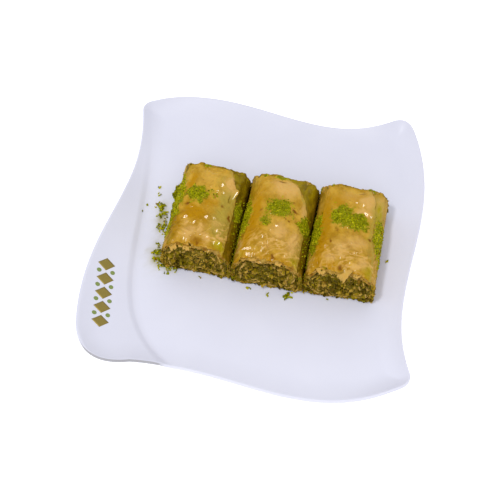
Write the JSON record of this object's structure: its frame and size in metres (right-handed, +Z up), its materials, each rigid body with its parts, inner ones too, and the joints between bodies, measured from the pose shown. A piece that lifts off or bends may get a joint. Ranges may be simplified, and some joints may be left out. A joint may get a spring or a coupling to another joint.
{
  "type": "plate of durum baklava",
  "caption": "Rolls of thin syrup-glazed pastry filled with ground pistachio, side by side on a white wavy-edged plate with a raised wing.",
  "frame": {"origin": "middle of the object's outline box, on the surface that the plate stands on", "axes": "+Z up, +X along the row of rolls away from the plate's wing, +Y away from the eater"},
  "size_m": [0.1898, 0.1925, 0.0346],
  "materials": {
    "plate": "gloss",
    "pastry": "gloss",
    "pistachio": "matte"
  },
  "bodies": {
    "root": {"plate": "plate", "wrap_1": "pastry", "wrap_2": "pastry", "wrap_3": "pastry", "filling_1": "pistachio", "filling_2": "pistachio", "filling_3": "pistachio"}
  },
  "joints": []
}
